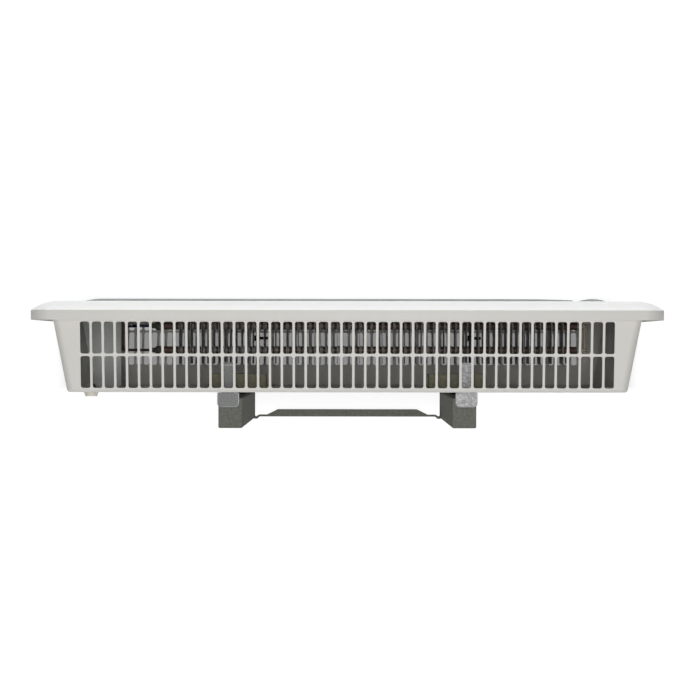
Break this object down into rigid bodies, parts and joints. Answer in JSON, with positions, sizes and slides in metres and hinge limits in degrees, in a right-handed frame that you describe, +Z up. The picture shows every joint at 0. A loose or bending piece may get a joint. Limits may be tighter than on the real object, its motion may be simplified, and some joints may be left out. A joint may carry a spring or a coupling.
{
  "type": "convector heater",
  "caption": "Wall-hung electric panel convector: bevelled white front, tapered slotted casing with a finned element inside, front controls, on a galvanised bracket.",
  "frame": {"origin": "on the wall plane, at the middle of the bracket's four wall screws", "axes": "+X to the right of someone facing the front, +Y into the wall, +Z up"},
  "size_m": [0.635, 0.1354, 0.454],
  "materials": {
    "white_enamel": "satin powder coat",
    "galvanised_steel": "zinc spangle",
    "galvanised_shade": "dull zinc",
    "zinc_sheet": "plated sheet",
    "bright_shield": "mill finish",
    "dark_fins": "heat-darkened steel",
    "rod_sheath": "red-brown oxide",
    "ceramic": "unglazed",
    "brass": "dull",
    "black_steel": "black",
    "steel_screw": "bright zinc",
    "grey_plastic": "fine texture",
    "knob_plastic": "satin",
    "rocker_plastic": "gloss",
    "amber_lens": "clear tint",
    "cream_plastic": "satin",
    "black_phenolic": "moulded",
    "rubber": "matte",
    "blue_insulation": "extruded",
    "brown_insulation": "extruded",
    "black_insulation": "extruded"
  },
  "bodies": {
    "wall_bracket": {"bracket_arm_right": "galvanised_steel", "bracket_arm_left": "galvanised_steel", "bracket_crossbar": "galvanised_steel", "hook_right": "galvanised_steel", "hook_left": "galvanised_steel", "bumper_pads": "rubber"},
    "heater": {"front_panel": "white_enamel", "rear_casing": "white_enamel", "panel_screws": "steel_screw", "hook_pocket_right": "galvanised_shade", "hook_pocket_left": "galvanised_shade", "heating_rod_front": "rod_sheath", "heating_rod_rear": "rod_sheath", "rod_end_insulators": "ceramic", "rod_terminal_pins": "steel_screw", "rod_link_strip": "brass", "heating_fins": "dark_fins", "element_hanger_right": "black_steel", "element_hanger_left": "black_steel", "hanger_screws": "black_steel", "compartment_partition": "zinc_sheet", "heat_shield": "bright_shield", "control_panel": "grey_plastic", "thermostat_body": "cream_plastic", "power_switch_housing": "rocker_plastic", "half_power_switch_housing": "rocker_plastic", "pilot_lamp": "amber_lens", "front_louvre": "grey_plastic", "louvre_end_piece": "grey_plastic", "cable_gland": "cream_plastic", "terminal_block": "cream_plastic", "overheat_cutout": "black_phenolic", "neutral_wire": "blue_insulation", "switched_wire": "brown_insulation", "live_wire": "black_insulation"},
    "thermostat": {"thermostat_knob": "knob_plastic", "thermostat_shaft": "steel_screw"},
    "power_rocker": {"power_switch_rocker": "rocker_plastic"},
    "half_power_rocker": {"half_power_switch_rocker": "rocker_plastic"}
  },
  "joints": [
    {"name": "lift_off_bracket", "type": "slide", "parent": "wall_bracket", "child": "heater", "axis": [0, 0, 1], "range_m": [0, 0.009]},
    {"name": "thermostat_turn", "type": "hinge", "parent": "heater", "child": "thermostat", "pos_m": [0.252, -0.1291, -0.0648], "axis": [0, 1, 0], "range_deg": [0, 270]},
    {"name": "power_rock", "type": "hinge", "parent": "heater", "child": "power_rocker", "pos_m": [0.252, -0.1279, -0.1048], "axis": [-1, 0, 0], "range_deg": [0, 16]},
    {"name": "half_power_rock", "type": "hinge", "parent": "heater", "child": "half_power_rocker", "pos_m": [0.252, -0.1279, -0.1398], "axis": [-1, 0, 0], "range_deg": [0, 16]}
  ]
}
